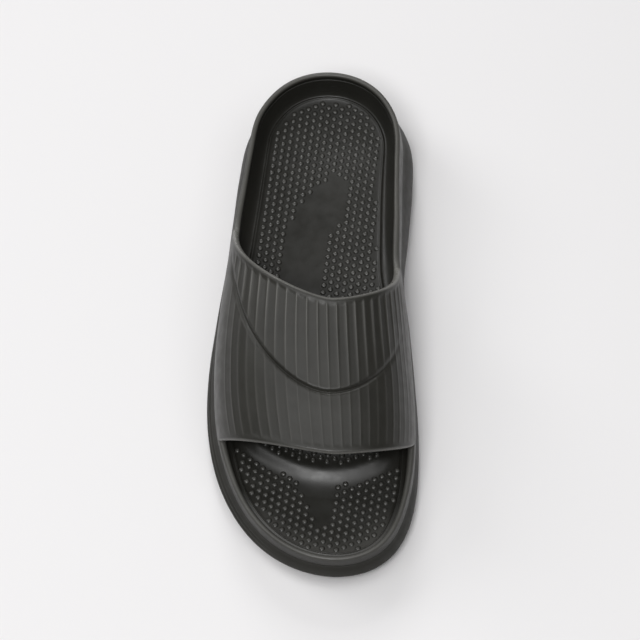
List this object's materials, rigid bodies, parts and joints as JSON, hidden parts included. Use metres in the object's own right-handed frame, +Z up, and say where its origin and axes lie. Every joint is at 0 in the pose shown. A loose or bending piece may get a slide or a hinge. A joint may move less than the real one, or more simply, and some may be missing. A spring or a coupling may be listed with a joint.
{
  "type": "sport slide sandal",
  "caption": "Moulded foam slide sandal for the right foot, with a broad ribbed strap, a low rim round heel and toe, a dotted footbed and a treaded sole.",
  "frame": {"origin": "on the floor, under the middle of the sandal's bounding box", "axes": "+Z up, +Y towards the heel with the toe at -Y, +X towards the inner side of the right foot"},
  "size_m": [0.1148, 0.2878, 0.078],
  "materials": {
    "sole_foam": "moulded closed-cell foam, matt with a faint sheen",
    "upper_foam": "moulded foam, satin, ribbed lengthways",
    "footbed_foam": "moulded foam, satin, with small raised dots"
  },
  "bodies": {
    "root": {"sole": "sole_foam", "upper": "upper_foam", "insole": "footbed_foam"}
  },
  "joints": []
}
